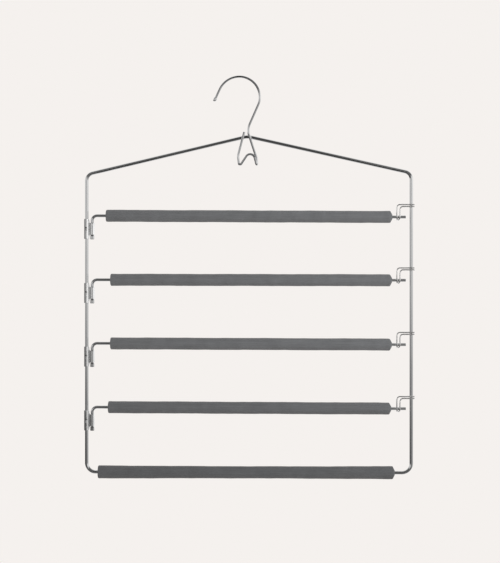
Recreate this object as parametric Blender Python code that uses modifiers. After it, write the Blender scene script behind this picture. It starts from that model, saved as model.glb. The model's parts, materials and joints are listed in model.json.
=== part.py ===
"""Five-tier swing-arm trouser hanger, bent from chrome-plated steel wire.

A house-shaped frame wire hangs from a hook.  Four arms turn on pins at its left
upright and rest in wire catches at its right upright, and foam sleeves cover the
arms and the frame's bottom bar.  Metres, +Z up, +X towards the arms' free ends,
+Y to the back.  The origin is at the hook's inner top, where it sits on a rail.
"""

import math

import bmesh
import bpy
from mathutils import Vector

# ---------------------------------------------------------------- dimensions
GAP = 0.0003                     # clearance between touching pieces

FRAME_WIRE = 0.0040              # wire diameters
HOOK_WIRE = 0.0026
ARM_WIRE = 0.0035
CATCH_WIRE = 0.0016

FRAME_X = 0.0107                 # frame's centre line, right of the hook's centre
UPRIGHT_X = 0.1830               # upright centre line from the frame's centre line
APEX_X = -0.0018                 # apex from the frame's centre line
APEX_Z = -0.0656
LEFT_SHOULDER_Z = -0.1086        # the bent wire isn't quite square
RIGHT_SHOULDER_Z = -0.1069
LEFT_CORNER_Z = -0.4439
RIGHT_CORNER_Z = -0.4449
APEX_BEND = 0.0200               # bend radii on the wire's centre line
SHOULDER_BEND = 0.0085
CORNER_BEND = 0.0105

HOOK_BOW = 0.0228                # the hook's arc from its neck to its top
HOOK_LIP_BOW = 0.0245            # and its wider arc from the top to the tip
NECK_LEAN = math.radians(23.8)   # neck, from the vertical
LIP_LEAN = math.radians(25.0)    # straight tip, from the vertical
LIP_LENGTH = 0.0137
NECK_X = -0.0006                 # neck's foot, from the frame's centre line
NECK_BEND = 0.0150
CROSSING_Z = -0.0627             # neck's foot, just above the apex
CROSSING_BEND = 0.0060
# the link's corners below the crossing, from the frame's centre line: its right leg,
# the turn to the front, the notch's top, the left turn and the left leg's free end
LINK = (
    (0.0086, 0.0, -0.0907),
    (0.0091, 0.0, -0.0977),
    (0.0084, -0.0027, -0.0977),
    (0.0034, -0.0022, -0.0787),
    (-0.0109, 0.0, -0.1001),
    (-0.0125, 0.0, -0.0877),
    (-0.0054, 0.0, -0.0609),
)
LINK_BENDS = (0.0100, 0.00139, 0.00139, 0.0054, 0.0015, 0.0150)

ARM_Z = (-0.1550, -0.2272, -0.2989, -0.3708)     # each arm at its pin, top arm first
ARM_DROOP = (0.0015, 0.0006, 0.0015, 0.0018)     # how far its free end hangs lower
ARM_BEND = 0.0055
ARM_END_X = 0.1768               # free end, from the frame's centre line
PIN_X = -0.1768                  # pin axis, from the frame's centre line

SHEET = 0.0006                   # bracket sheet
BRACKET_DROP = 0.0149            # bracket's middle below the arm
FRAME_BARREL_HEIGHT = 0.0224
PIN_BARREL_HEIGHT = 0.0135
FRAME_BARREL_CHAMFER = 0.0004
PIN_BARREL_CHAMFER = 0.0003
WEB_INSET = 0.0012               # web below the frame barrel's rim
WEB_FOOT_INSET = 0.0002          # and below the pin barrel's
PIN_TAIL = 0.0267                # pin's lower end below the arm
PINCH_WIDEN = 1.30               # the pin's pinched end, as a share of the wire
PINCH_THIN = 0.62
PINCH_TAPER = 0.0010

ARM_SLEEVE = 0.0135              # foam sleeve diameters
BOTTOM_SLEEVE = 0.0140
# each arm sleeve's ends, from the frame's centre line, top arm first
ARM_SLEEVE_ENDS = ((-0.1616, 0.1615), (-0.1565, 0.1611), (-0.1566, 0.1609), (-0.1591, 0.1601))
BOTTOM_SLEEVE_ENDS = (-0.1706, 0.1641)
SLEEVE_EDGE = 0.0012             # chamfer of both ends
SLEEVE_FACE = 0.0032             # far end's flat face, in from the outside
SLEEVE_FACE_DEPTH = 0.0010
SLEEVE_TAPER = 0.0034            # length of the far end's taper

CATCH_STEM_X = 0.1682            # middle of the catch's two stems
CATCH_STEM_SPREAD = 0.0034       # between the stems' centre lines
CATCH_UPPER = 0.0139             # upper strand above the arm's free end
CATCH_LOWER = 0.0117             # lower strand
CATCH_END_X = 0.1864
CATCH_BEND = 0.0034
CATCH_TIP_BEND = 0.0010          # the closed end under the arm

TIP_CAP = 0.0040                 # cap on the hook's tip
TIP_CAP_LENGTH = 0.0044
TIP_CAP_DEPTH = 0.0030
TIP_CAP_EDGE = 0.0003

SIDES = 12                       # of a wire
THIN_SIDES = 8                   # of a catch's wire
SLEEVE_STEPS = 24                # round a sleeve

# ------------------------------------------------------------ derived places
FRAME_Y = FRAME_WIRE / 2 + GAP + HOOK_WIRE / 2
CATCH_Y = FRAME_Y - FRAME_WIRE / 2 - GAP - CATCH_WIRE / 2
PIN_OFFSET = PIN_X + UPRIGHT_X


def clear_scene():
    """Remove every object that the file starts with."""
    for item in list(bpy.data.objects):
        bpy.data.objects.remove(item, do_unlink=True)


def new_collection(name):
    """Link a new collection under the scene."""
    collection = bpy.data.collections.new(name)
    bpy.context.scene.collection.children.link(collection)
    return collection


def new_material(name, colour, roughness, metallic):
    """Principled material with one colour."""
    material = bpy.data.materials.new(name)
    material.use_nodes = True
    shader = material.node_tree.nodes["Principled BSDF"]
    shader.inputs["Base Color"].default_value = (*colour, 1.0)
    shader.inputs["Roughness"].default_value = roughness
    shader.inputs["Metallic"].default_value = metallic
    return material


def place(name, data, material, location=(0.0, 0.0, 0.0), turn=(0.0, 0.0, 0.0)):
    """Named object with its material, in the part's collection."""
    if not data.materials:
        data.materials.append(material)
    item = bpy.data.objects.new(name, data)
    item.location = location
    item.rotation_euler = turn
    PARTS.objects.link(item)
    return item


def hang_on(item, parent):
    """Parent item without moving it."""
    bpy.context.view_layer.update()
    item.parent = parent
    item.matrix_parent_inverse = parent.matrix_world.inverted()


# --------------------------------------------------------------------- wires
def arc(centre, radius, start, end, steps):
    """Points of an arc in the XZ plane; angles from +X towards +Z, in radians."""
    angles = [start + (end - start) * step / steps for step in range(steps + 1)]
    return [centre + radius * Vector((math.cos(a), 0.0, math.sin(a))) for a in angles]


def bent(corners, bends, step=math.radians(18.0)):
    """Round a path's inner corners with arcs; a bend radius of 0 keeps the corner."""
    points = [corners[0]]
    for before, corner, after, radius in zip(corners, corners[1:], corners[2:], bends):
        came = (corner - before).normalized()
        goes = (after - corner).normalized()
        turn = came.angle(goes)
        if radius == 0.0 or turn < 1e-4:
            points.append(corner)
            continue
        start = corner - came * radius * math.tan(turn / 2)
        inward = (goes - came * came.dot(goes)).normalized()
        steps = max(2, math.ceil(turn / step))
        for index in range(steps + 1):
            angle = turn * index / steps
            along = came * math.sin(angle)
            aside = inward * (1 - math.cos(angle))
            points.append(start + radius * (along + aside))
    points.append(corners[-1])
    return points


def round_wire(name, points, diameter, sides=SIDES, closed=False):
    """Curve data for a round wire along the points."""
    curve = bpy.data.curves.new(name, "CURVE")
    curve.dimensions = "3D"
    curve.bevel_depth = diameter / 2
    curve.bevel_resolution = sides // 2 - 2
    curve.use_fill_caps = True
    spline = curve.splines.new("POLY")
    spline.points.add(len(points) - 1)
    for target, point in zip(spline.points, points):
        target.co = (*point, 1.0)
    spline.use_cyclic_u = closed
    return curve


def as_mesh(item):
    """Closed mesh of an object as evaluated; the object itself is removed."""
    graph = bpy.context.evaluated_depsgraph_get()
    mesh = bpy.data.meshes.new_from_object(item.evaluated_get(graph))
    mesh.name = item.name
    bpy.data.objects.remove(item, do_unlink=True)
    shape = bmesh.new()
    shape.from_mesh(mesh)
    bmesh.ops.remove_doubles(shape, verts=shape.verts, dist=1e-6)
    shape.to_mesh(mesh)
    shape.free()
    return mesh


def smooth(mesh):
    """Smooth shading with the sharp edges kept."""
    mesh.shade_smooth()
    mesh.set_sharp_from_angle(angle=math.radians(40.0))


# --------------------------------------------------------------------- frame
def bar_point(x):
    """Point on the bottom bar's centre line, x from the frame's centre line."""
    share = (x + UPRIGHT_X) / (2 * UPRIGHT_X)
    height = LEFT_CORNER_Z + share * (RIGHT_CORNER_Z - LEFT_CORNER_Z)
    return Vector((FRAME_X + x, FRAME_Y, height))


def frame_wire():
    """One wire bent to a house shape; its ends are butt-welded in the bottom sleeve."""
    left = FRAME_X - UPRIGHT_X
    right = FRAME_X + UPRIGHT_X
    corners = [
        bar_point(0.0),
        bar_point(-UPRIGHT_X),
        Vector((left, FRAME_Y, LEFT_SHOULDER_Z)),
        Vector((FRAME_X + APEX_X, FRAME_Y, APEX_Z)),
        Vector((right, FRAME_Y, RIGHT_SHOULDER_Z)),
        bar_point(UPRIGHT_X),
        bar_point(BOTTOM_SLEEVE),
    ]
    bends = (CORNER_BEND, SHOULDER_BEND, APEX_BEND, SHOULDER_BEND, CORNER_BEND)
    points = bent(corners, bends, math.radians(15.0))
    place("frame_wire", round_wire("frame_wire", points, FRAME_WIRE, closed=True), CHROME)


def hook_path():
    """The hook, its neck, and the notched link that crosses the apex twice."""
    top = HOOK_WIRE / 2
    lip_centre = Vector((0.0, 0.0, top - HOOK_LIP_BOW))
    bow_centre = Vector((0.0, 0.0, top - HOOK_BOW))
    lip = arc(lip_centre, HOOK_LIP_BOW, math.pi - LIP_LEAN, math.pi / 2, 8)
    bow = arc(bow_centre, HOOK_BOW, math.pi / 2, -NECK_LEAN, 13)
    tip = lip[0] + LIP_LENGTH * Vector((-math.sin(LIP_LEAN), 0.0, -math.cos(LIP_LEAN)))
    neck_x = FRAME_X + NECK_X
    neck_z = bow[-1].z - (bow[-1].x - neck_x) / math.tan(NECK_LEAN)
    corners = [bow[-1], Vector((neck_x, 0.0, neck_z)), Vector((neck_x, 0.0, CROSSING_Z))]
    corners += [Vector((FRAME_X + x, y, z)) for x, y, z in LINK]
    bends = (NECK_BEND, CROSSING_BEND) + LINK_BENDS
    return [tip] + lip + bow[1:-1] + bent(corners, bends)


def hook_wire():
    """Hook and link in one wire, spot-welded to the front of the frame wire."""
    points = hook_path()
    place("hook_wire", round_wire("hook_wire", points, HOOK_WIRE), CHROME)
    return points[0], (points[0] - points[1]).normalized()


def turned(name, profile, steps):
    """Mesh data of a profile of (radius, height) pairs turned round the Z axis."""
    mesh = bpy.data.meshes.new(name)
    verts = [(radius, 0.0, height) for radius, height in profile]
    edges = [(index, index + 1) for index in range(len(verts) - 1)]
    if profile[0][0] > 0.0:
        edges.append((len(verts) - 1, 0))
    mesh.from_pydata(verts, edges, [])
    item = bpy.data.objects.new(name, mesh)
    PARTS.objects.link(item)
    screw = item.modifiers.new("turn", "SCREW")
    screw.steps = steps
    screw.render_steps = steps
    screw.use_merge_vertices = True
    screw.merge_threshold = 0.00001
    solid = as_mesh(item)
    smooth(solid)
    return solid


def tip_cap(tip, heading):
    """Small domed cap pushed over the hook's cut end."""
    outer = TIP_CAP / 2
    bore = HOOK_WIRE / 2 + GAP
    mouth = -TIP_CAP_DEPTH
    dome = TIP_CAP_LENGTH - TIP_CAP_DEPTH
    half_way = math.sqrt(0.5)
    profile = [(0.0, dome), (outer * half_way, dome * half_way), (outer, 0.0)]
    profile += [(outer, mouth + TIP_CAP_EDGE), (outer - TIP_CAP_EDGE, mouth)]
    profile += [(bore, mouth), (bore, GAP), (0.0, GAP)]
    solid = turned("hook_tip_cap", profile, 16)
    turn = Vector((0.0, 0.0, 1.0)).rotation_difference(heading).to_euler()
    place("hook_tip_cap", solid, CAP, tip, turn)


# -------------------------------------------------------------------- sleeves
def foam_sleeve(name, length, diameter, wire):
    """Foam tube: nearly square at its start, tapered at its far end."""
    outer = diameter / 2
    bore = wire / 2 + GAP
    edge = outer - SLEEVE_EDGE
    profile = [(bore, length), (outer - SLEEVE_FACE, length), (edge, length - SLEEVE_FACE_DEPTH)]
    profile += [(outer, length - SLEEVE_TAPER), (outer, SLEEVE_EDGE), (edge, 0.0), (bore, 0.0)]
    return turned(name, profile, SLEEVE_STEPS)


def bottom_sleeve():
    """Sleeve on the frame's bottom bar."""
    start, end = (bar_point(x) for x in BOTTOM_SLEEVE_ENDS)
    along = end - start
    solid = foam_sleeve("bottom_sleeve", along.length, BOTTOM_SLEEVE, FRAME_WIRE)
    slope = math.atan2(-along.z, along.x)
    place("bottom_sleeve", solid, FOAM, start, (0.0, math.pi / 2 + slope, 0.0))


# ----------------------------------------------------------------------- arms
def arm_mesh(name, droop):
    """Arm and pin in one wire; the pin's end is pinched flat so that it can't lift out."""
    reach = ARM_END_X - PIN_X
    pinch = -(BRACKET_DROP + PIN_BARREL_HEIGHT / 2 + GAP)
    corners = [
        Vector((reach, 0.0, -droop)),
        Vector((0.0, 0.0, 0.0)),
        Vector((0.0, 0.0, pinch)),
        Vector((0.0, 0.0, pinch - PINCH_TAPER)),
        Vector((0.0, 0.0, -PIN_TAIL)),
    ]
    points = bent(corners, (ARM_BEND, 0.0, 0.0))
    item = bpy.data.objects.new(name, round_wire(name, points, ARM_WIRE))
    PARTS.objects.link(item)
    mesh = as_mesh(item)
    for vert in mesh.vertices:
        if vert.co.z < pinch - PINCH_TAPER / 2:
            vert.co.x *= PINCH_WIDEN
            vert.co.y *= PINCH_THIN
    smooth(mesh)
    return mesh


def swing_arm(number, height, droop, ends):
    """Arm on its pin axis, with its sleeve."""
    mesh = arm_mesh(f"arm_wire_{number}", droop)
    arm = place(f"arm_wire_{number}", mesh, CHROME, (FRAME_X + PIN_X, FRAME_Y, height))
    start, end = ends
    slope = math.atan2(droop, ARM_END_X - PIN_X)
    solid = foam_sleeve(f"arm_sleeve_{number}", end - start, ARM_SLEEVE, ARM_WIRE)
    low = (start - PIN_X) * math.tan(slope)
    foot = (FRAME_X + start, FRAME_Y, height - low)
    sleeve = place(f"arm_sleeve_{number}", solid, FOAM, foot, (0.0, math.pi / 2 + slope, 0.0))
    hang_on(sleeve, arm)


# ------------------------------------------------------------ hinge brackets
def cylinder(name, radius, height, x, chamfer=0.0):
    """Upright cylinder object on the bracket's middle height."""
    mesh = bpy.data.meshes.new(name)
    shape = bmesh.new()
    bmesh.ops.create_cone(
        shape, cap_ends=True, segments=24, radius1=radius, radius2=radius, depth=height
    )
    if chamfer > 0.0:
        rims = [edge for edge in shape.edges if edge.is_manifold and edge.calc_face_angle() > 1.0]
        bmesh.ops.bevel(shape, geom=rims, offset=chamfer, segments=2, affect="EDGES", profile=0.5)
    shape.to_mesh(mesh)
    shape.free()
    item = bpy.data.objects.new(name, mesh)
    item.location.x = x
    TOOLS.objects.link(item)
    item.hide_render = True
    item.display_type = "WIRE"
    return item


def web_plate():
    """Folded web between the two barrels, with sloping shoulders."""
    tall = FRAME_BARREL_HEIGHT / 2 - WEB_INSET
    short = PIN_BARREL_HEIGHT / 2 - WEB_FOOT_INSET
    shoulder = -PIN_OFFSET + FRAME_WIRE / 2
    foot = -ARM_WIRE / 2 - GAP - SHEET
    outline = bpy.data.curves.new("web", "CURVE")
    outline.dimensions = "2D"
    outline.fill_mode = "BOTH"
    outline.extrude = SHEET
    upper = [(0.0, short), (foot, short), (shoulder, tall), (-PIN_OFFSET, tall)]
    corners = upper + [(x, -z) for x, z in reversed(upper)]
    spline = outline.splines.new("POLY")
    spline.points.add(len(corners) - 1)
    for target, (x, z) in zip(spline.points, corners):
        target.co = (x, z, 0.0, 1.0)
    spline.use_cyclic_u = True
    item = bpy.data.objects.new("web", outline)
    item.rotation_euler.x = math.pi / 2
    TOOLS.objects.link(item)
    bpy.context.view_layer.update()
    stood_up = item.matrix_world.copy()
    mesh = as_mesh(item)
    mesh.transform(stood_up)
    plate = bpy.data.objects.new("web", mesh)
    TOOLS.objects.link(plate)
    return plate


def bracket_mesh():
    """Sheet bracket crimped round the upright, with a bored barrel for the pin."""
    frame_radius = FRAME_WIRE / 2 + GAP
    pin_radius = ARM_WIRE / 2 + GAP
    cut_height = 2 * FRAME_BARREL_HEIGHT
    pin_barrel = cylinder(
        "pin_barrel", pin_radius + SHEET, PIN_BARREL_HEIGHT, 0.0, PIN_BARREL_CHAMFER
    )
    frame_barrel = cylinder(
        "frame_barrel",
        frame_radius + SHEET,
        FRAME_BARREL_HEIGHT,
        -PIN_OFFSET,
        FRAME_BARREL_CHAMFER,
    )
    tools = [
        (web_plate(), "UNION"),
        (frame_barrel, "UNION"),
        (cylinder("frame_bore", frame_radius, cut_height, -PIN_OFFSET), "DIFFERENCE"),
        (cylinder("pin_bore", pin_radius, cut_height, 0.0), "DIFFERENCE"),
    ]
    for tool, operation in tools:
        cut = pin_barrel.modifiers.new(tool.name, "BOOLEAN")
        cut.operation = operation
        cut.object = tool
    bpy.context.view_layer.update()
    mesh = as_mesh(pin_barrel)
    for tool, _ in tools:
        bpy.data.objects.remove(tool, do_unlink=True)
    smooth(mesh)
    return mesh


# -------------------------------------------------------------------- catches
def catch_strand(side):
    """Half of the catch's wire, from its welded end down and under the arm.

    side is +1 for the inner strand, nearer the upright, and -1 for the outer one.
    """
    half = CATCH_STEM_SPREAD / 2
    height = CATCH_LOWER if side > 0 else CATCH_UPPER
    stem_x = CATCH_STEM_X + side * half
    front = CATCH_Y - FRAME_Y
    corners = [
        Vector((CATCH_END_X, front, height)),
        Vector((stem_x, front, height)),
        Vector((stem_x, front, 0.0)),
    ]
    points = bent(corners, (CATCH_BEND,))
    steps = 5
    for step in range(1, steps + 1):
        angle = math.pi / 2 * step / steps
        narrow = half + (CATCH_TIP_BEND - half) * step / steps
        x = CATCH_STEM_X + side * narrow
        points.append(Vector((x, front * math.cos(angle), front * math.sin(angle))))
    return points


def catch_curve():
    """Hairpin of thin wire: two strands and the closed end under the arm."""
    inner = catch_strand(1)
    outer = catch_strand(-1)
    low = inner[-1].z
    steps = 6
    turn = [math.pi / 2 - math.pi * step / steps for step in range(1, steps)]
    closed_end = [
        Vector((CATCH_STEM_X + CATCH_TIP_BEND * math.sin(a), CATCH_TIP_BEND * math.cos(a), low))
        for a in turn
    ]
    points = inner + closed_end + outer[::-1]
    return round_wire("catch", points, CATCH_WIRE, THIN_SIDES)


clear_scene()
PARTS = new_collection("trouser_hanger")
TOOLS = new_collection("cutters")
CHROME = new_material("chrome_plate", (0.78, 0.79, 0.80), 0.12, 1.0)
BRACKET = new_material("plated_sheet", (0.76, 0.77, 0.78), 0.18, 1.0)
FOAM = new_material("grey_foam", (0.145, 0.147, 0.150), 0.90, 0.0)
CAP = new_material("tip_cap", (0.72, 0.73, 0.74), 0.25, 1.0)

frame_wire()
tip_cap(*hook_wire())
bottom_sleeve()

bracket = bracket_mesh()
catch = catch_curve()
for number, (height, droop, ends) in enumerate(zip(ARM_Z, ARM_DROOP, ARM_SLEEVE_ENDS), 1):
    swing_arm(number, height, droop, ends)
    hinge_at = (FRAME_X + PIN_X, FRAME_Y, height - BRACKET_DROP)
    place(f"hinge_bracket_{number}", bracket, BRACKET, hinge_at)
    place(f"catch_{number}", catch, CHROME, (FRAME_X, FRAME_Y, height - droop))
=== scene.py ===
"""Looks of a five-tier swing-arm trouser hanger: chrome-plated wire with foam sleeves.

Metres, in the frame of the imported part: +Z up, +X towards the arms' free ends, +Y to
the back, and the origin where the hook's inner top sits on its rail.
"""

import json
import math

import bpy
import numpy as np
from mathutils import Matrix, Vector


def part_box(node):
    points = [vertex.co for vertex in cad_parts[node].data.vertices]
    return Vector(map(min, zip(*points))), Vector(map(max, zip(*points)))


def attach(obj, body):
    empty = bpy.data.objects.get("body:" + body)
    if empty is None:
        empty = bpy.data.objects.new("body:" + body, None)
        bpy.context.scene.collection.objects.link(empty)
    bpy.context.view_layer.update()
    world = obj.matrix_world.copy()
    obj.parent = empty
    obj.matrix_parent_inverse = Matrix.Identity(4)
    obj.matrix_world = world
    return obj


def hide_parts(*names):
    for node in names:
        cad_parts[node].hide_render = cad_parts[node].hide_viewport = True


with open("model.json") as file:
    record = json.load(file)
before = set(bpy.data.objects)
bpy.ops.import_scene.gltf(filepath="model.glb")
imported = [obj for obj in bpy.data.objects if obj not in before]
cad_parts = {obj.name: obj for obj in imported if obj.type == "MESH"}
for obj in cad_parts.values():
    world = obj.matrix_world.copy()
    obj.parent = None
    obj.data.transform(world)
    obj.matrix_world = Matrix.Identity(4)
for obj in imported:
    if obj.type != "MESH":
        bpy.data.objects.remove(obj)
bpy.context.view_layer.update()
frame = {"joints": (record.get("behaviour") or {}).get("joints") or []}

# ------------------------------------------------------------------ frame wire
# One length of 4 mm steel wire bent to the outline of a house, its ends butt-welded
# inside the bottom sleeve.  The wire is drawn through dies, which leaves faint lines
# along it, and is chrome plated after all the welding.
FRAME_RADIUS = 0.0020
APEX = (-0.0018, -0.0656)        # from the frame's centre line, and height
SHOULDERS_Z = (-0.1086, -0.1069)         # left and right: the bent wire isn't quite square
CORNERS_Z = (-0.4439, -0.4449)
FRAME_BENDS = (0.0105, 0.0085, 0.0200, 0.0085, 0.0105)
CLOSING_RUN = 0.010              # straight run inside the sleeve that closes the loop
WIRE_SIDES = 28
BEND_STEP = math.radians(4.0)
CUT_RINGS = 6                    # in the rounded edge of a cut end
CREASE = math.radians(50.0)      # edges sharper than this stay sharp
TO_BACK = (0.0, 1.0, 0.0)
CHROME = (0.60, 0.605, 0.61)
LINES_SCALE = (45.0, 5200.0, 1.0)        # noise per metre along and around the wire
HAZE_SCALE = 38.0
PITS_SCALE = 2600.0
PITS_FROM, PITS_FULL = 0.66, 0.80        # of the noise
MARKS_SHADE, PITS_SHADE = 0.22, -0.25
MARKS_ROUGH, PITS_ROUGH = 0.10, 0.20
PITS_HEIGHT = -0.6


def unit(vectors):
    """Each vector scaled to length 1."""
    return vectors / np.linalg.norm(vectors, axis=-1, keepdims=True)


def bent_line(corners, bends):
    """Corners joined by straight runs, each inner corner rounded by an arc.

    An arc of radius r starts r tan(turn / 2) before its corner, and its points are that
    start plus r (sin t along the run before it + (1 - cos t) towards the inside).
    """
    corners = np.array(corners, float)
    runs = unit(np.diff(corners, axis=0))
    parts = [corners[:1]]
    for corner, came, goes, radius in zip(corners[1:-1], runs, runs[1:], bends):
        turn = math.acos(np.clip(came @ goes, -1.0, 1.0))
        inward = unit(goes - came * (came @ goes))
        t = np.linspace(0.0, turn, 2 + math.ceil(turn / BEND_STEP))[:, None]
        start = corner - came * radius * math.tan(turn / 2)
        parts.append(start + radius * (np.sin(t) * came + (1 - np.cos(t)) * inward))
    return np.concatenate(parts + [corners[-1:]])


def surface(name, grid, u, v, around=True, along=False):
    """Mesh of a grid of points, where each four neighbours make a face.

    around joins every row's last point to its first, and along joins the last row to
    the first; rows that go around but not along get a flat cap at each end.  u and v
    are the lengths in metres along and around the piece, kept as its UV map.
    """
    rows, columns = grid.shape[:2]
    row, column = np.meshgrid(
        np.arange(rows if along else rows - 1),
        np.arange(columns if around else columns - 1),
        indexing="ij",
    )
    across = np.stack([row, row, row + 1, row + 1], -1).reshape(-1, 4)
    over = np.stack([column, column + 1, column + 1, column], -1).reshape(-1, 4)
    faces = ((across % rows) * columns + over % columns).tolist()
    uv = np.stack([u[across], v[over]], -1).reshape(-1, 2)
    if around and not along:
        ring = np.arange(columns)
        faces += [ring[::-1].tolist(), (ring + (rows - 1) * columns).tolist()]
        uv = np.concatenate([uv, np.zeros((2 * columns, 2))])
    mesh = bpy.data.meshes.new(name)
    mesh.from_pydata(grid.reshape(-1, 3).tolist(), [], faces)
    layer = mesh.uv_layers.new(name="lengths")
    layer.data.foreach_set("uv", uv.astype(np.float32).ravel())
    mesh.shade_smooth()
    mesh.set_sharp_from_angle(angle=CREASE)
    piece = bpy.data.objects.new(name, mesh)
    bpy.context.scene.collection.objects.link(piece)
    return piece


def lengths(points):
    """Distance of each point from the first, measured along the line."""
    steps = np.linalg.norm(np.diff(points, axis=0), axis=1)
    return np.concatenate([[0.0], np.cumsum(steps)])


def wire(name, path, radius, cut_edge=0.0, reference=TO_BACK, closed=False, pinch=None):
    """Round wire: a circle carried along the path.

    A ring is its path point plus the radius times (cos a across + sin a over), where
    across is square to the path and the reference, and over is square to both.  At a
    cut end the ring shrinks along a quarter circle, the cut's rounded edge, to a flat
    cap.  pinch gives every ring's share of the radius across and over.
    """
    radii = np.full(len(path), radius)
    if cut_edge:
        t = np.linspace(math.pi / 2, 0.0, CUT_RINGS)
        inset = cut_edge * (1 - np.sin(t))[:, None]
        first = path[0] + inset * unit(path[1] - path[0])
        last = path[-1] + inset * unit(path[-2] - path[-1])
        path = np.concatenate([first, path[1:-1], last[::-1]])
        rim = radius - cut_edge + cut_edge * np.cos(t)
        radii = np.concatenate([rim, radii[1:-1], rim[::-1]])
    before = np.roll(path, 1, axis=0)
    after = np.roll(path, -1, axis=0)
    if not closed:
        before[0], after[-1] = path[0], path[-1]
    tangent = unit(after - before)
    across = unit(np.cross(reference, tangent))
    over = np.cross(tangent, across)
    a = np.linspace(0.0, 2 * math.pi, WIRE_SIDES, endpoint=False)
    wide, tall = (np.ones((len(path), 2)) if pinch is None else pinch(path)).T[:, :, None]
    ring = (wide * np.cos(a))[..., None] * across[:, None]
    ring += (tall * np.sin(a))[..., None] * over[:, None]
    grid = path[:, None] + radii[:, None, None] * ring
    along = lengths(np.concatenate([path, path[:1]]))
    around = np.linspace(0.0, 2 * math.pi * radius, WIRE_SIDES + 1)
    return surface(name, grid, along, around, along=closed)


def node(tree, kind, values=None, **settings):
    """Shader node with its settings; a value that is a socket is linked, others are set."""
    made = tree.nodes.new(kind)
    for key, value in settings.items():
        setattr(made, key, value)
    for key, value in (values or {}).items():
        if isinstance(value, bpy.types.NodeSocket):
            tree.links.new(value, made.inputs[key])
        else:
            made.inputs[key].default_value = value
    return made


def math_node(tree, operation, *values):
    """One arithmetic step, as its output socket."""
    made = node(tree, "ShaderNodeMath", dict(enumerate(values)), operation=operation)
    return made.outputs[0]


def ramp(tree, value, start, end, low=0.0, high=1.0):
    """Smooth step of a value: low before start, high after end."""
    values = {"Value": value, 1: start, 2: end, 3: low, 4: high}
    made = node(tree, "ShaderNodeMapRange", values, interpolation_type="SMOOTHSTEP")
    return made.outputs[0]


def mixed(tree, share, first, second):
    """First where the share is 0, second where it is 1."""
    return node(tree, "ShaderNodeMix", {"Factor": share, 2: first, 3: second}).outputs[0]


def object_place(tree):
    """Object coordinates, as a socket."""
    return tree.nodes.new("ShaderNodeTexCoord").outputs["Object"]


def own_lengths(tree, scale):
    """The piece's own lengths along and around it, each times its scale."""
    along = node(tree, "ShaderNodeUVMap", uv_map="lengths").outputs[0]
    return node(tree, "ShaderNodeMapping", {"Vector": along, "Scale": scale}).outputs[0]


def noise(tree, vector, scale, detail):
    """Value of noise at a vector."""
    values = {"Vector": vector, "Scale": scale, "Detail": detail}
    return node(tree, "ShaderNodeTexNoise", values).outputs[0]


def centred(tree, value):
    """The value less a half."""
    return math_node(tree, "SUBTRACT", value, 0.5)


def new_group(name, inputs, outputs):
    """Node group with its number sockets, and no nodes yet."""
    tree = bpy.data.node_groups.new(name, "ShaderNodeTree")
    for way, labels in (("INPUT", inputs), ("OUTPUT", outputs)):
        for label in labels:
            tree.interface.new_socket(label, in_out=way, socket_type="NodeSocketFloat")
    return tree


def new_material(name):
    """Material with its node tree and its surface shader."""
    material = bpy.data.materials.new(name)
    material.use_nodes = True
    tree = material.node_tree
    return material, tree, tree.nodes["Principled BSDF"]


def marked_colour(tree, shader, marks, colour, relief):
    """The marks' shade scales the colour and their height makes the relief."""
    tint = node(tree, "ShaderNodeVectorMath", {0: colour}, operation="SCALE")
    tree.links.new(marks["Shade"], tint.inputs["Scale"])
    tree.links.new(tint.outputs[0], shader.inputs["Base Color"])
    bump = node(tree, "ShaderNodeBump", {"Height": marks["Height"], "Distance": relief})
    tree.links.new(bump.outputs[0], shader.inputs["Normal"])


def drawn_plating_group():
    """Group of the marks in plated wire: drawn lines, patches of haze and fine pits.

    The drawn lines are noise stretched along the piece's own lengths; the haze is wide
    noise and the pits are small noise, both in object coordinates.
    """
    inputs, outputs = ("Lines", "Haze", "Roughness"), ("Shade", "Roughness", "Height")
    tree = new_group("drawn_plating", inputs, outputs)
    given = tree.nodes.new("NodeGroupInput").outputs
    place = object_place(tree)
    lines = centred(tree, noise(tree, own_lengths(tree, LINES_SCALE), 1.0, 3.0))
    lines = math_node(tree, "MULTIPLY", lines, given["Lines"])
    haze = centred(tree, noise(tree, place, HAZE_SCALE, 2.0))
    haze = math_node(tree, "MULTIPLY", haze, given["Haze"])
    pits = ramp(tree, noise(tree, place, PITS_SCALE, 2.0), PITS_FROM, PITS_FULL)
    marks = math_node(tree, "ADD", lines, haze)
    shade = math_node(tree, "MULTIPLY_ADD", marks, MARKS_SHADE, 1.0)
    shade = math_node(tree, "MULTIPLY_ADD", pits, PITS_SHADE, shade)
    rough = math_node(tree, "MULTIPLY_ADD", marks, MARKS_ROUGH, given["Roughness"])
    rough = math_node(tree, "MULTIPLY_ADD", pits, PITS_ROUGH, rough)
    height = math_node(tree, "MULTIPLY_ADD", pits, PITS_HEIGHT, lines)
    node(tree, "NodeGroupOutput", {"Shade": shade, "Roughness": rough, "Height": height})
    return tree


DRAWN_PLATING = drawn_plating_group()


def plated(name, colour, roughness, lines, haze, relief):
    """Plated metal: its colour, roughness and relief vary with the marks of the group."""
    material, tree, shader = new_material(name)
    shader.inputs["Metallic"].default_value = 1.0
    values = {"Lines": lines, "Haze": haze, "Roughness": roughness}
    marks = node(tree, "ShaderNodeGroup", values, node_tree=DRAWN_PLATING).outputs
    marked_colour(tree, shader, marks, colour, relief)
    tree.links.new(marks["Roughness"], shader.inputs["Roughness"])
    return material


def fit(piece, material, body, slot, *nodes):
    """The piece gets its material, rides on its body and stands for the CAD nodes."""
    piece.data.materials.append(material)
    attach(piece, body)
    if nodes:
        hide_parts(*nodes)


low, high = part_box("frame_wire")
frame_y = (low.y + high.y) / 2
left_x = low.x + FRAME_RADIUS
right_x = high.x - FRAME_RADIUS
frame_x = (left_x + right_x) / 2


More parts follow.
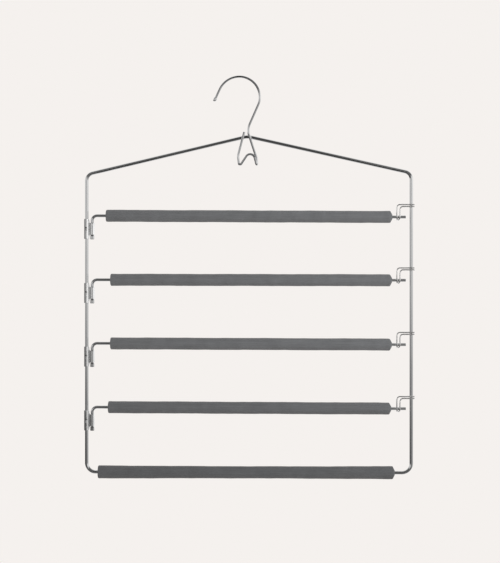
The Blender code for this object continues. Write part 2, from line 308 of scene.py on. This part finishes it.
def bar_point(x):
    """Point on the bottom bar's middle line."""
    return np.array([x, frame_y, np.interp(x, (left_x, right_x), CORNERS_Z)])


frame_corners = [
    bar_point(frame_x),
    bar_point(left_x),
    (left_x, frame_y, SHOULDERS_Z[0]),
    (frame_x + APEX[0], frame_y, APEX[1]),
    (right_x, frame_y, SHOULDERS_Z[1]),
    bar_point(right_x),
    bar_point(frame_x + CLOSING_RUN),
]
frame_chrome = plated(
    "frame_chrome", CHROME, roughness=0.07, lines=1.0, haze=1.0, relief=0.000006
)
outline = bent_line(frame_corners, FRAME_BENDS)
outline = wire("house_wire", outline, FRAME_RADIUS, closed=True)
fit(outline, frame_chrome, "frame", "chrome_wire", "frame_wire")

# ------------------------------------------------------------------- hook wire
# A 2.6 mm wire that makes the hook, its neck, and below it a link whose notched foot
# takes a second hanger's hook.  The notch stands a little in front of the legs, which
# lie on the frame wire's front and are spot-welded to it where they cross the apex.
HOOK_RADIUS = 0.0013
HOOK_BOW = 0.0228                # arc from the top to the neck
LIP_BOW = 0.0245                 # wider arc from the tip's run to the top
NECK_LEAN = math.radians(23.8)   # from the vertical
LIP_LEAN = math.radians(25.0)
LIP_LENGTH = 0.0137
NECK_X = -0.0006                 # the link's corners are from the frame's centre line
NECK_FOOT_Z = -0.0627
LINK = (
    (0.0086, 0.0, -0.0907),
    (0.0091, 0.0, -0.0977),
    (0.0084, -0.0027, -0.0977),
    (0.0034, -0.0022, -0.0787),
    (-0.0109, 0.0, -0.1001),
    (-0.0125, 0.0, -0.0877),
    (-0.0054, 0.0, -0.0609),
)
LINK_BENDS = (0.0150, 0.0060, 0.0100, 0.00139, 0.00139, 0.0054, 0.0015, 0.0150)
BESIDE_LINK = (-0.6, 1.0, 0.0)   # a direction that no run of the wire takes
HOOK_CUT = 0.0004                # rounded edge of the cut ends
LIP_STEPS = 30
BOW_STEPS = 40
WELD_SIDES = 24
WELD_ENDS = math.radians(84.0)   # how far a bead goes towards its foot and crown
WELD_RIPPLE = 0.05
CROSSING_WELD = (0.0017, 0.0011, 0.0015)         # half sizes
CROSSINGS = {"hook_weld_left": (-0.0073, -0.0683), "hook_weld_right": (0.0012, -0.0667)}


def arc(x, z, radius, start, end, steps):
    """Arc in the hook's plane: centre plus radius (cos a, sin a), a from +X towards +Z."""
    a = np.linspace(start, end, steps)
    return np.stack([x + radius * np.cos(a), 0 * a, z + radius * np.sin(a)], -1)


def weld_bead(name, centre, half):
    """Weld bead: a ball stretched to its half sizes, with low ripples round it.

    A point is the centre plus half sizes times (g cos b cos a, g cos b sin a, sin b),
    where g is 1 + ripple sin(5 a + 2 b) cos b, for a around the bead and b from foot to
    crown.
    """
    a = np.linspace(0.0, 2 * math.pi, WELD_SIDES, endpoint=False)[None, :]
    b = np.linspace(-WELD_ENDS, WELD_ENDS, WELD_SIDES // 2)[:, None]
    grow = np.cos(b) * (1 + WELD_RIPPLE * np.sin(5 * a + 2 * b) * np.cos(b))
    shape = np.stack([grow * np.cos(a), grow * np.sin(a), np.sin(b) + 0 * a], -1)
    grid = np.array(centre) + np.array(half) * shape
    around = np.linspace(0.0, 2 * math.pi * half[0], WELD_SIDES + 1)
    return surface(name, grid, (b[:, 0] - b[0, 0]) * half[2], around)


top = HOOK_RADIUS
lip = arc(0.0, top - LIP_BOW, LIP_BOW, math.pi - LIP_LEAN, math.pi / 2, LIP_STEPS)
bow = arc(0.0, top - HOOK_BOW, HOOK_BOW, math.pi / 2, -NECK_LEAN, BOW_STEPS)
tip = lip[:1] - LIP_LENGTH * np.array([[math.sin(LIP_LEAN), 0.0, math.cos(LIP_LEAN)]])
neck_x = frame_x + NECK_X
neck_z = bow[-1, 2] - (bow[-1, 0] - neck_x) / math.tan(NECK_LEAN)
below_bow = [bow[-1], (neck_x, 0.0, neck_z), (neck_x, 0.0, NECK_FOOT_Z)]
below_bow += [(frame_x + x, y, z) for x, y, z in LINK]
hook_path = np.concatenate([tip, lip, bow[1:-1], bent_line(below_bow, LINK_BENDS)])
hook_chrome = plated(
    "hook_chrome", CHROME, roughness=0.06, lines=1.0, haze=1.2, relief=0.000005
)
hook = wire("hook_and_link", hook_path, HOOK_RADIUS, HOOK_CUT, BESIDE_LINK)
fit(hook, hook_chrome, "frame", "chrome_wire", "hook_wire")

weld_chrome = plated(
    "weld_chrome", (0.74, 0.74, 0.74), roughness=0.24, lines=0.4, haze=2.0, relief=0.00004
)
for name, (x, z) in CROSSINGS.items():
    bead = weld_bead(name, (frame_x + x, frame_y - FRAME_RADIUS, z), CROSSING_WELD)
    fit(bead, weld_chrome, "frame", "chrome_wire")

# ---------------------------------------------------------------- hook tip cap
# Small domed metal cap pressed over the wire's cut end, so that it can't scratch.
CAP_RADIUS = 0.0020
CAP_DOME = 0.0014
CAP_SKIRT = 0.0030
CAP_BORE = HOOK_RADIUS + 0.0002
CAP_LIP = 0.0003
CAP_FLOOR = 0.0002               # the bore's bottom, past the wire's end
DOME_TURN = math.radians(86.0)
DOME_STEPS = 9
CAP_LIP_STEPS = 5


def turned(name, profile, foot, heading):
    """Profile of (radius, height) pairs turned round a heading from its foot."""
    heading = unit(heading)
    across = np.cross(TO_BACK, heading)
    over = np.cross(heading, across)
    a = np.linspace(0.0, 2 * math.pi, WIRE_SIDES, endpoint=False)[None, :, None]
    radius, height = profile[:, :1, None], profile[:, 1:, None]
    grid = foot + height * heading + radius * (np.cos(a) * across + np.sin(a) * over)
    around = np.linspace(0.0, 2 * math.pi * profile[:, 0].max(), WIRE_SIDES + 1)
    return surface(name, grid, lengths(profile), around)


t = np.linspace(0.0, DOME_TURN, DOME_STEPS)
dome = np.stack([CAP_RADIUS * np.cos(t), CAP_DOME * np.sin(t)], -1)
t = np.linspace(-math.pi / 2, 0.0, CAP_LIP_STEPS)
edge = CAP_LIP * np.stack([np.cos(t) - 1, np.sin(t) + 1], -1)
bore = [(CAP_FLOOR, CAP_FLOOR), (CAP_BORE, CAP_FLOOR), (CAP_BORE, -CAP_SKIRT)]
profile = np.concatenate([bore, (CAP_RADIUS, -CAP_SKIRT) + edge, dome])
cap = turned("hook_tip_dome", profile, tip[0], tip[0] - lip[0])
cap_metal = plated(
    "cap_metal", (0.86, 0.865, 0.87), roughness=0.28, lines=0.3, haze=1.0, relief=0.000008
)
fit(cap, cap_metal, "frame", "tip_cap", "hook_tip_cap")

# ------------------------------------------------------------------- swing arms
# Four 3.5 mm wires, each bent down at its left end into a pin that turns in its
# bracket.  The pin's end is pinched flat so that it can't lift out, and the free end
# is cut square with a deburred edge.
ARM_RADIUS = 0.00175
ARM_DROOP = (0.0015, 0.0006, 0.0015, 0.0018)     # how far each free end hangs lower
ARM_BEND = 0.0055
PIN_TAIL = 0.0267
PINCH_START = 0.0215             # below the arm
PINCH_FULL = 0.0228
PINCH_WIDE = 1.30
PINCH_THIN = 0.62
PINCH_STEPS = 14
CUT_EDGE = 0.0005                # rounded edge of the arms' and the catches' cut ends

arm_chrome = plated(
    "arm_chrome", (0.56, 0.565, 0.57), roughness=0.07, lines=1.0, haze=1.0, relief=0.000006
)
arms = []
for number, droop in enumerate(ARM_DROOP, 1):
    joint = next(j for j in frame["joints"] if j["name"] == f"arm_{number}_swing")
    pin = np.array(joint["pos_m"], float)
    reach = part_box(f"arm_wire_{number}")[1].x - pin[0]
    free_end = pin + (reach, 0.0, -droop)

    def pinched(path, height=pin[2]):
        """Rings below the pinch widen across and thin over, in a smooth step."""
        s = (height - path[:, 2] - PINCH_START) / (PINCH_FULL - PINCH_START)
        s = np.clip(s, 0.0, 1.0)
        s = s * s * (3 - 2 * s)
        return np.stack([1 + (PINCH_WIDE - 1) * s, 1 + (PINCH_THIN - 1) * s], -1)

    drop = np.linspace(PINCH_START, PIN_TAIL, PINCH_STEPS)
    tail = pin - np.outer(drop, (0.0, 0.0, 1.0))
    corners = [free_end, pin, tail[0]]
    path = np.concatenate([bent_line(corners, (ARM_BEND,)), tail[1:]])
    arm = wire(f"arm_and_pin_{number}", path, ARM_RADIUS, CUT_EDGE, pinch=pinched)
    fit(arm, arm_chrome, f"arm_{number}", "chrome_wire", f"arm_wire_{number}")
    arms.append((pin, free_end))

# -------------------------------------------------------------- hinge brackets
# Each is one strip of 0.6 mm plated sheet folded like a figure eight: round the
# upright, where a punched dimple grips the wire, and round the arm's pin, with a seam
# in the back of the web.  The pin's barrel is shorter and its rims roll outwards.
SHEET = 0.0006
BRACKET_DROP = 0.0149            # the bracket's middle below the arm
UPRIGHT_BARREL = 0.0026          # barrel radii at the middle of the sheet
PIN_BARREL = 0.00235
FOLD = 0.0004                    # between barrel and web
UPRIGHT_HALF = 0.0112            # half heights
PIN_HALF = 0.00675
SLOPE_START = -0.0042            # of the web's shoulders, from the pin
SLOPE_END = -0.0027
DIMPLE = 0.00028
DIMPLE_WIDE = 0.0010
DIMPLE_TALL = 0.0015
DIMPLE_X = -0.0004               # from the upright's axis
FAR = 9.0                        # dimple widths away, for the sheet's back
RIM_ROLL = 0.00022
ROLLED = 0.07                    # share of the half height that rolls out
ROLL_START = -0.0016             # where the roll sets in, from the pin
ROLL_FULL = -0.0004
WEB_GAP = 0.00004                # between the web's two sheets
SEAM_GAP = 0.00008               # from the seam's middle to each edge
SHEET_ROWS = 89
BARREL_STEPS = 64
FOLD_STEPS = 8
EASED_EDGE = 0.00012
EASED_FROM = math.radians(55.0)
# painted shade: dark upright bands on the front, at the upright barrel's left side and over
# the pin barrel: from and to, from the pin's axis, and how much of the light they take
PAINTED_SHADE_BANDS = ((-0.0095, -0.0071, 0.80), (-0.0027, -0.0015, 0.72), (-0.0003, 0.0009, 0.55))
SHADE_BAND_SOFT = 0.0002


def strip_line(offset):
    """Middle line of the folded strip, seen from above, from seam to seam.

    Each barrel is an arc about its axis.  A fold of radius f joins it to the web at
    half a sheet from the middle: its centre is r + f from the axis and f beyond the
    web's line.
    """
    half = (SHEET + WEB_GAP) / 2

    def barrel(x, radius, side):
        """One barrel with the fold into the web at both of its ends."""
        lift = half + FOLD
        fold_x = math.sqrt((radius + FOLD) ** 2 - lift**2)
        edge = math.atan2(lift, fold_x)
        around = np.linspace(edge, 2 * math.pi - edge, BARREL_STEPS)
        ring = radius * np.stack([side * np.cos(around), np.sin(around)], -1)
        angle = np.linspace(math.pi + edge, 1.5 * math.pi, FOLD_STEPS)[1:]
        fold = FOLD * np.stack([side * np.cos(angle), np.sin(angle)], -1)
        fold += (side * fold_x, lift)
        return (x, 0.0) + np.concatenate([fold[::-1], ring, fold * (1, -1)])

    upright = barrel(-offset, UPRIGHT_BARREL, 1)
    pin = barrel(0.0, PIN_BARREL, -1)
    seam = (upright[0] + pin[0]) / 2
    gap = np.array([SEAM_GAP, 0.0])
    return np.concatenate([[seam - gap], upright, pin[::-1], [seam + gap]])


def bracket_sheet(name, pin, offset):
    """Folded strip: its middle line carried up between heights that change along it.

    The half height steps down smoothly from the upright's to the pin's barrel across
    the web, the pin barrel's rims flare by the roll, and the dimple pushes the sheet
    inwards by a bell curve at the upright's front.
    """
    line = strip_line(offset)
    s = np.clip((line[:, 0] - SLOPE_START) / (SLOPE_END - SLOPE_START), 0.0, 1.0)
    half = UPRIGHT_HALF + (PIN_HALF - UPRIGHT_HALF) * s
    share = np.linspace(-1.0, 1.0, SHEET_ROWS)[:, None]
    height = share * half[None, :]
    centre = np.where(line[:, :1] < -offset / 2, (-offset, 0.0), (0.0, 0.0))
    outward = unit(line - centre)
    on_pin = (line[None, :, 0] - ROLL_START) / (ROLL_FULL - ROLL_START)
    at_rim = (np.abs(share) - (1 - ROLLED)) / ROLLED
    flare = RIM_ROLL * np.clip(on_pin, 0.0, 1.0) * np.clip(at_rim, 0.0, 1.0) ** 2
    beside = (line[:, 0] + offset - DIMPLE_X) / DIMPLE_WIDE
    beside = np.where(line[:, 1] < 0, beside, FAR)[None, :]
    push = DIMPLE * np.exp(-((beside**2 + (height / DIMPLE_TALL) ** 2) ** 2))
    x = line[None, :, 0] + (flare - push) * outward[None, :, 0]
    y = line[None, :, 1] + (flare - push) * outward[None, :, 1]
    grid = np.stack([pin[0] + x, pin[1] + y, pin[2] - BRACKET_DROP + height], -1)
    piece = surface(name, grid, lengths(grid[:, 0]), lengths(line), around=False)
    thick = piece.modifiers.new("sheet", "SOLIDIFY")
    thick.thickness = SHEET
    thick.offset = 0.0
    thick.use_even_offset = True
    eased = piece.modifiers.new("edges", "BEVEL")
    eased.width = EASED_EDGE
    eased.segments = 2
    eased.limit_method = "ANGLE"
    eased.angle_limit = EASED_FROM
    return piece


def paint_shade_bands(material, pin_x):
    """Painted shade: darken the metal in upright bands of object coordinates, on the front
    half only.
    """
    tree = material.node_tree
    base = tree.nodes["Principled BSDF"].inputs["Base Color"]
    unshaded = base.links[0].from_socket
    axes = node(tree, "ShaderNodeSeparateXYZ", {0: object_place(tree)}).outputs
    front = ramp(tree, axes["Y"], frame_y + SHADE_BAND_SOFT, frame_y - SHADE_BAND_SOFT)
    kept = 1.0
    for start, end, share in PAINTED_SHADE_BANDS:
        start, end = pin_x + start, pin_x + end
        enter = ramp(tree, axes["X"], start - SHADE_BAND_SOFT, start + SHADE_BAND_SOFT)
        leave = ramp(tree, axes["X"], end + SHADE_BAND_SOFT, end - SHADE_BAND_SOFT)
        inside = math_node(tree, "MULTIPLY", enter, leave)
        inside = math_node(tree, "MULTIPLY", inside, front)
        band = math_node(tree, "MULTIPLY_ADD", inside, -share, 1.0)
        kept = math_node(tree, "MULTIPLY", kept, band)
    values = {0: unshaded, "Scale": kept}
    shade_painted = node(tree, "ShaderNodeVectorMath", values, operation="SCALE")
    tree.links.new(shade_painted.outputs[0], base)


sheet_metal = plated(
    "sheet_metal", (0.90, 0.905, 0.91), roughness=0.18, lines=0.5, haze=2.2, relief=0.00001
)
# paints shade as dark upright bands on the brackets' fronts
paint_shade_bands(sheet_metal, arms[0][0][0])
for number, (pin, _) in enumerate(arms, 1):
    bracket = bracket_sheet(f"hinge_sheet_{number}", pin, pin[0] - left_x)
    fit(bracket, sheet_metal, "frame", "plated_sheet", f"hinge_bracket_{number}")

# --------------------------------------------------------------------- catches
# Hairpins of 1.6 mm wire.  Both ends cross the upright's front and are welded there;
# the two stems hang down and hook back under the arm in a narrow closed end, on which
# the arm's free end rests.
CATCH_RADIUS = 0.0008
STEM_X = 0.1682                  # from the frame's centre line
STEM_HALF = 0.0017
CLOSED_HALF = 0.0010
UPPER = 0.0139                   # strands' heights above the arm's free end
LOWER = 0.0117
STRAND_END_X = 0.1864
STRAND_BEND = 0.0034
IN_FRONT = 0.0031                # stems in front of the arm's axis
CATCH_SLANT = (1.0, 0.0, -1.0)   # a direction that no run of the wire takes
CATCH_WELD = (0.0016, 0.0007, 0.0010)
CATCH_STEPS = 14


def hairpin_strand(side):
    """Half of a hairpin, from its welded end to the middle under the arm.

    After its bend and its straight stem it follows a quarter circle about the arm's
    axis, drawing in towards its twin as it goes.
    """
    stem = STEM_X + side * STEM_HALF
    height = LOWER if side > 0 else UPPER
    corners = [(STRAND_END_X, height), (stem, height), (stem, 0.0)]
    run = bent_line([(x, -IN_FRONT, z) for x, z in corners], (STRAND_BEND,))
    a = np.linspace(0.0, math.pi / 2, CATCH_STEPS)[1:]
    draw_in = 0.5 - 0.5 * np.cos(2 * a)
    x = STEM_X + side * (STEM_HALF + (CLOSED_HALF - STEM_HALF) * draw_in)
    under = np.stack([x, -IN_FRONT * np.cos(a), -IN_FRONT * np.sin(a)], -1)
    return np.concatenate([run, under])


inner, outer = hairpin_strand(1), hairpin_strand(-1)
a = np.linspace(math.pi / 2, -math.pi / 2, CATCH_STEPS)[1:-1]
closed_end = CLOSED_HALF * np.stack([np.sin(a), np.cos(a), 0 * a], -1)
hairpin = np.concatenate([inner, (STEM_X, 0.0, -IN_FRONT) + closed_end, outer[::-1]])
catch_chrome = plated(
    "catch_chrome",
    (0.90, 0.895, 0.89),
    roughness=0.26,
    lines=1.0,
    haze=1.0,
    relief=0.000004,
)
for number, (_, free_end) in enumerate(arms, 1):
    path = hairpin + (frame_x, frame_y, free_end[2])
    catch = wire(f"hairpin_catch_{number}", path, CATCH_RADIUS, CUT_EDGE, CATCH_SLANT)
    fit(catch, catch_chrome, "frame", "chrome_wire", f"catch_{number}")
    for label, height in (("upper", UPPER), ("lower", LOWER)):
        centre = (right_x, frame_y - FRAME_RADIUS, free_end[2] + height)
        bead = weld_bead(f"catch_weld_{number}_{label}", centre, CATCH_WELD)
        fit(bead, weld_chrome, "frame", "chrome_wire")

# --------------------------------------------------------------- foam sleeves
# Tubes of closed-cell grey foam pushed over the arms and the bottom bar, so that
# trousers don't slip.  They are extruded, which leaves faint lines and a slightly
# uneven wall; the left end is cut nearly square and the right end is drawn in.
FOAM = (0.117, 0.123, 0.130)
# the foam is darker towards the bottom, most on the two lowest sleeves
FOAM_TONES = (0.98, 0.98, 0.97, 0.85, 0.71)     # arms' sleeves from the top, bottom sleeve
ARM_FOAM_RADIUS = 0.00675
BOTTOM_FOAM_RADIUS = 0.0073
FOAM_CLEARANCE = 0.0003
FOAM_SIDES = 56
FOAM_RINGS = 90
FOAM_END_STEPS = 9
UNEVEN = 0.00007
# waves in the wall: radians per metre along, turns around, and share
WAVES = ((61, 1, 1.0), (143, -2, 0.7), (287, 3, 0.5), (420, 0, 0.4))
WAIST = 0.0005                   # the bottom sleeve is stretched thinner in its middle
CROWN = 0.0004                   # left end: its face before the corner
CORNER = (0.0013, 0.0014)        # along and inwards
SHOULDER_LONG = 0.0019           # right end: the shoulder, then the cone to the mouth
SHOULDER_DEEP = 0.0011
CONE = 0.0017
MOUTH_WALL = 0.0006
MOUTH_INSET = 0.0002
BORE_EASE = (0.0006, 0.0007)
FOAM_LINES_SCALE = (16.0, 900.0, 1.0)    # noise per metre along and around the sleeve
CLOUDS_SCALE = 90.0
CELLS_SCALE = 2300.0
FINE_SCALE = 5200.0
SKIN_SHADES = (0.50, 0.35, 0.30, 0.25)   # of lines, clouds, cells and fine noise
LINES_HEIGHT, FINE_HEIGHT = 0.8, 0.5     # against the cells'
SKIN_RELIEF = 0.00006
FOAM_SURFACE = {
    "Roughness": 0.82,
    "Specular IOR Level": 0.35,
    "Sheen Weight": 0.10,
    "Sheen Roughness": 0.5,
}


def foam_group():
    """Group of the foam's skin: extrusion lines, clouds of tone, and fine cells.

    Lines are noise stretched along the sleeve's own lengths, clouds are wide noise and
    cells the distance to the nearest of many scattered points.
    """
    tree = new_group("foam_skin", (), ("Shade", "Height"))
    place = object_place(tree)
    lines = centred(tree, noise(tree, own_lengths(tree, FOAM_LINES_SCALE), 1.0, 4.0))
    clouds = centred(tree, noise(tree, place, CLOUDS_SCALE, 3.0))
    cells = node(tree, "ShaderNodeTexVoronoi", {"Vector": place, "Scale": CELLS_SCALE})
    cells = centred(tree, cells.outputs[0])
    fine = centred(tree, noise(tree, place, FINE_SCALE, 2.0))
    shade = 1.0
    for mark, share in zip((lines, clouds, cells, fine), SKIN_SHADES):
        shade = math_node(tree, "MULTIPLY_ADD", mark, share, shade)
    height = math_node(tree, "MULTIPLY_ADD", lines, LINES_HEIGHT, cells)
    height = math_node(tree, "MULTIPLY_ADD", fine, FINE_HEIGHT, height)
    node(tree, "NodeGroupOutput", {"Shade": shade, "Height": height})
    return tree


def foam_material(name, tone, skin):
    """Matt foam whose tone and relief come from the group of its skin.

    The tone is the foam's colour as a share, darker on the lower tubes.
    """
    material, tree, shader = new_material(name)
    for label, value in FOAM_SURFACE.items():
        shader.inputs[label].default_value = value
    marks = node(tree, "ShaderNodeGroup", node_tree=skin).outputs
    marked_colour(tree, shader, marks, [tone * c for c in FOAM], SKIN_RELIEF)
    return material


def foam_sleeve(name, start, end, radius, bore, seed, waist=0.0):
    """Tube round the straight line from start to end, closed over both ends.

    Its outline is a loop of (distance, radius) pairs: out across the left end's low
    crown, round its corner, along the outside, in over the drawn end's cone, and back
    through the bore.  The outside is uneven by a few slow sine waves in both ways,
    and draws in by the waist, as a sine from end to end.
    """
    length = np.linalg.norm(end - start)
    axis = (end - start) / length
    across = np.cross(TO_BACK, axis)
    over = np.cross(axis, across)
    t = np.linspace(0.0, math.pi / 2, FOAM_END_STEPS)
    left = np.array([CROWN, radius]) + CORNER * np.stack([1 - np.sin(t), np.cos(t) - 1], -1)
    sides = np.linspace(CROWN + CORNER[0], length - SHOULDER_LONG - CONE, FOAM_RINGS)[1:-1]
    sides = np.stack([sides, radius + 0 * sides], -1)
    shoulder = np.stack([SHOULDER_LONG * np.sin(t), SHOULDER_DEEP * (np.cos(t) - 1)], -1)
    shoulder += (length - SHOULDER_LONG - CONE, radius)
    cone = np.linspace(shoulder[-1], (length, bore + MOUTH_WALL), len(t))[1:]
    ease_long, ease_deep = BORE_EASE
    inside = [(length - MOUTH_INSET, bore), (ease_long, bore), (0.0, bore + ease_deep)]
    loop = np.concatenate([left[::-1], sides, shoulder, cone, inside])
    a = np.linspace(0.0, 2 * math.pi, FOAM_SIDES, endpoint=False)[None, :]
    x, r = loop[:, :1], loop[:, 1:]
    phases = np.random.default_rng(seed).uniform(0.0, 2 * math.pi, len(WAVES))
    wave = sum(
        share * np.sin(along * x + turns * a + phase)
        for (along, turns, share), phase in zip(WAVES, phases)
    )
    change = UNEVEN * wave - waist * np.sin(math.pi * x / length)
    r = r + change * np.clip((r - bore) / (radius - bore), 0.0, 1.0) ** 2
    ring = np.cos(a)[..., None] * across + np.sin(a)[..., None] * over
    grid = start + x[..., None] * axis + r[..., None] * ring
    along = lengths(np.concatenate([loop, loop[:1]]))
    around = np.linspace(0.0, 2 * math.pi * radius, FOAM_SIDES + 1)
    return surface(name, grid, along, around, along=True)


skin = foam_group()
foams = [
    foam_material(f"grey_foam_{number}", tone, skin)
    for number, tone in enumerate(FOAM_TONES, 1)
]
arm_bore = ARM_RADIUS + FOAM_CLEARANCE
for number, (pin, free_end) in enumerate(arms, 1):
    low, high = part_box(f"arm_sleeve_{number}")
    slope = (free_end - pin) / (free_end[0] - pin[0])
    start, end = pin + (low.x - pin[0]) * slope, pin + (high.x - pin[0]) * slope
    sleeve = foam_sleeve(
        f"arm_foam_{number}", start, end, ARM_FOAM_RADIUS, arm_bore, seed=number
    )
    fit(sleeve, foams[number - 1], f"arm_{number}", "grey_foam", f"arm_sleeve_{number}")

low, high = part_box("bottom_sleeve")
start, end = bar_point(low.x), bar_point(high.x)
bottom_bore = FRAME_RADIUS + FOAM_CLEARANCE
sleeve = foam_sleeve(
    "bottom_foam", start, end, BOTTOM_FOAM_RADIUS, bottom_bore, seed=5, waist=WAIST
)
fit(sleeve, foams[-1], "frame", "grey_foam", "bottom_sleeve")

# ---------------------------------------------------------------- floor, light
# A pale matt floor well below the hanger, which fades out before its edge, a pale
# studio all round, and three soft boxes.  The studio has a dark side behind the camera,
# which the chrome shows as its dark core.
BACKDROP = (0.913, 0.880, 0.855)
FLOOR_COLOUR = (0.90, 0.87, 0.85)
FLOOR_Z = -1.25
FLOOR_RADIUS = 3.0
FLOOR_SIDES = 64
FLOOR_ROUGHNESS = 0.9
FLOOR_FADE = (0.6, 2.9)          # radii between which it fades out
STUDIO_COLOUR = (0.95, 0.94, 0.93)
# where each ramp over a direction of length 1 starts and ends
HORIZON = (-0.16, 0.06)          # over z
UPPER_GLOW = (0.02, 0.13)
RIGHTWARD = (-0.85, 0.45)        # over x
BACK_LEFT = (-0.10, -0.45)
BEHIND = (0.15, 0.70)            # over y plus a share of |z|
STEEP_SHARE = 0.60
WEDGE_DARK = (0.08, 0.34)        # over |x| / sqrt(x^2 + z^2)
WEDGE_OPEN = (0.83, 0.96)
WEDGE_FLOOR = 0.0004             # added to x^2 + z^2, so that the divisor isn't 0
# brightness
LOW_SIDE = (0.43, 0.05)          # gained from left to right, and at the left
HIGH_SIDE = (0.36, 0.68)
UPPER_GAIN = 0.28
WEDGE_LIGHT = (0.015, 0.16)      # in the middle of the dark side, and beside it

floor_mesh = bpy.data.meshes.new("studio_floor")
a = np.linspace(0.0, 2 * math.pi, FLOOR_SIDES, endpoint=False)
rim = np.stack([FLOOR_RADIUS * np.cos(a), FLOOR_RADIUS * np.sin(a), FLOOR_Z + 0 * a], -1)
floor_mesh.from_pydata(rim.tolist(), [], [list(range(len(a)))])
floor = bpy.data.objects.new("studio_floor", floor_mesh)
bpy.context.scene.collection.objects.link(floor)
floor.visible_glossy = False
pale, tree, shader = new_material("pale_floor")
shader.inputs["Base Color"].default_value = (*FLOOR_COLOUR, 1.0)
shader.inputs["Roughness"].default_value = FLOOR_ROUGHNESS
values = {0: object_place(tree), 1: (1.0, 1.0, 0.0)}
level = node(tree, "ShaderNodeVectorMath", values, operation="MULTIPLY").outputs[0]
radius = node(tree, "ShaderNodeVectorMath", {0: level}, operation="LENGTH").outputs["Value"]
tree.links.new(ramp(tree, radius, *FLOOR_FADE, 1.0, 0.0), shader.inputs["Alpha"])
floor_mesh.materials.append(pale)

world = bpy.data.worlds.new("studio")
bpy.context.scene.world = world
world.use_nodes = True
tree = world.node_tree
tree.nodes.clear()
direction = tree.nodes.new("ShaderNodeTexCoord").outputs["Generated"]
axes = node(tree, "ShaderNodeSeparateXYZ", {0: direction}).outputs
above = ramp(tree, axes["Z"], *HORIZON)
rightward = ramp(tree, axes["X"], *RIGHTWARD)
glow = ramp(tree, axes["Z"], *UPPER_GLOW, 0.0, UPPER_GAIN)
low_side = math_node(tree, "MULTIPLY_ADD", rightward, *LOW_SIDE)
high_side = math_node(tree, "MULTIPLY_ADD", rightward, *HIGH_SIDE)
high_side = math_node(tree, "ADD", high_side, glow)
sides = mixed(tree, above, low_side, high_side)
steep = math_node(tree, "ABSOLUTE", axes["Z"])
behind = math_node(tree, "MULTIPLY_ADD", steep, STEEP_SHARE, axes["Y"])
behind = ramp(tree, behind, *BEHIND)
below = math_node(tree, "SUBTRACT", 1.0, above)
back_left = math_node(tree, "MULTIPLY", ramp(tree, axes["X"], *BACK_LEFT), below)
elsewhere = math_node(tree, "SUBTRACT", 1.0, back_left)
behind = math_node(tree, "MULTIPLY", behind, elsewhere)
crosswise = math_node(tree, "ABSOLUTE", axes["X"])
squares = math_node(tree, "MULTIPLY_ADD", axes["Z"], axes["Z"], WEDGE_FLOOR)
squares = math_node(tree, "MULTIPLY_ADD", crosswise, crosswise, squares)
wedge = math_node(tree, "DIVIDE", crosswise, math_node(tree, "SQRT", squares))
dark = ramp(tree, wedge, *WEDGE_DARK, *WEDGE_LIGHT)
front = mixed(tree, ramp(tree, wedge, *WEDGE_OPEN), dark, sides)
values = {"Color": (*STUDIO_COLOUR, 1.0), "Strength": mixed(tree, behind, front, 1.0)}
studio = node(tree, "ShaderNodeBackground", values)
values = {"Color": (*BACKDROP, 1.0), "Strength": 1.0}
plain = node(tree, "ShaderNodeBackground", values)
mirrored = tree.nodes.new("ShaderNodeLightPath").outputs["Is Glossy Ray"]
values = {0: mirrored, 1: plain.outputs[0], 2: studio.outputs[0]}
either = node(tree, "ShaderNodeMixShader", values)
node(tree, "ShaderNodeOutputWorld", {"Surface": either.outputs[0]})


def soft_box(name, place, aim, width, height, power):
    """Rectangular area light at a place, turned towards its aim."""
    data = bpy.data.lights.new(name, "AREA")
    data.shape = "RECTANGLE"
    data.size, data.size_y = width, height
    data.energy = power
    lamp = bpy.data.objects.new(name, data)
    lamp.location = place
    lamp.rotation_euler = (Vector(aim) - Vector(place)).to_track_quat("-Z", "Y").to_euler()
    lamp.visible_camera = False
    lamp.visible_glossy = False
    bpy.context.scene.collection.objects.link(lamp)


MIDDLE = (0.0118, 0.0, -0.2292)
soft_box("overhead_box", (0.1, -0.5, 1.25), MIDDLE, 2.4, 1.4, 1.5)
soft_box("right_box", (0.52, -0.42, -0.12), (0.15, 0.0, -0.25), 0.3, 0.5, 2.0)
soft_box("low_box", (0.15, -0.50, -0.95), MIDDLE, 1.0, 0.4, 0.70)
bpy.context.scene.view_settings.view_transform = "Standard"

# --------------------------------------------------------------------- camera
# Square on to the hanger and level with its middle.
CAMERA_DISTANCE = 1.5
VIEW_HEIGHT = 0.6350             # seen at the frame wire
SENSOR = 36.0

lens = bpy.data.cameras.new("camera")
lens.sensor_width = SENSOR
lens.lens = SENSOR * CAMERA_DISTANCE / VIEW_HEIGHT
camera = bpy.data.objects.new("camera", lens)
camera.location = (MIDDLE[0], frame_y - CAMERA_DISTANCE, MIDDLE[2])
camera.rotation_euler = (math.pi / 2, 0.0, 0.0)
bpy.context.scene.collection.objects.link(camera)
bpy.context.scene.camera = camera
